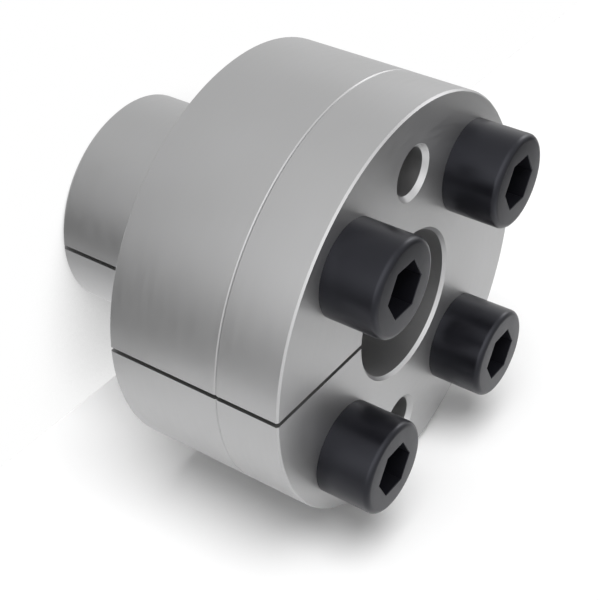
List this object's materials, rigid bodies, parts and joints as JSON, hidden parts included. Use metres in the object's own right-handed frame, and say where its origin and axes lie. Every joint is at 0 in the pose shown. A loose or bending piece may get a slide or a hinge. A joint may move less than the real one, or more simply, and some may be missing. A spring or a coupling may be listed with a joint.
{
  "type": "keyless locking device",
  "caption": "Slit self-centring locking device: flanged tapered rings, drawn together by socket screws, grip a plain shaft and expand in a hub bore without a key.",
  "frame": {"origin": "centre of the sleeve's end face, on the shaft axis", "axes": "+Z along the shaft axis towards the screw heads; the slit through both rings faces -Y; the jacking holes lie on +X and -X"},
  "size_m": [0.045, 0.045, 0.042],
  "materials": {
    "ring_steel": "fine turned and ground steel, satin",
    "screw_steel": "black oxide on alloy steel, slightly oily satin"
  },
  "bodies": {
    "outer_ring": {"outer_ring": "ring_steel"},
    "inner_ring": {"inner_ring": "ring_steel"},
    "clamp_screw_1": {"clamp_screw_1": "screw_steel"},
    "clamp_screw_2": {"clamp_screw_2": "screw_steel"},
    "clamp_screw_3": {"clamp_screw_3": "screw_steel"},
    "clamp_screw_4": {"clamp_screw_4": "screw_steel"}
  },
  "joints": [
    {"name": "ring_draw", "type": "slide", "parent": "outer_ring", "child": "inner_ring", "axis": [0, 0, 1], "range_m": [0, 0.002]},
    {"name": "screw_1_turn", "type": "hinge", "parent": "inner_ring", "child": "clamp_screw_1", "pos_m": [0.01103, 0.01103, 0.036], "axis": [0, 0, 1], "range_deg": [0, 720]},
    {"name": "screw_2_turn", "type": "hinge", "parent": "inner_ring", "child": "clamp_screw_2", "pos_m": [-0.01103, 0.01103, 0.036], "axis": [0, 0, 1], "range_deg": [0, 720]},
    {"name": "screw_3_turn", "type": "hinge", "parent": "inner_ring", "child": "clamp_screw_3", "pos_m": [-0.01103, -0.01103, 0.036], "axis": [0, 0, 1], "range_deg": [0, 720]},
    {"name": "screw_4_turn", "type": "hinge", "parent": "inner_ring", "child": "clamp_screw_4", "pos_m": [0.01103, -0.01103, 0.036], "axis": [0, 0, 1], "range_deg": [0, 720]}
  ],
  "couplings": [
    {"joint": "screw_1_turn", "follows": "ring_draw", "rad_per_m": 6283.2},
    {"joint": "screw_2_turn", "follows": "ring_draw", "rad_per_m": 6283.2},
    {"joint": "screw_3_turn", "follows": "ring_draw", "rad_per_m": 6283.2},
    {"joint": "screw_4_turn", "follows": "ring_draw", "rad_per_m": 6283.2}
  ]
}
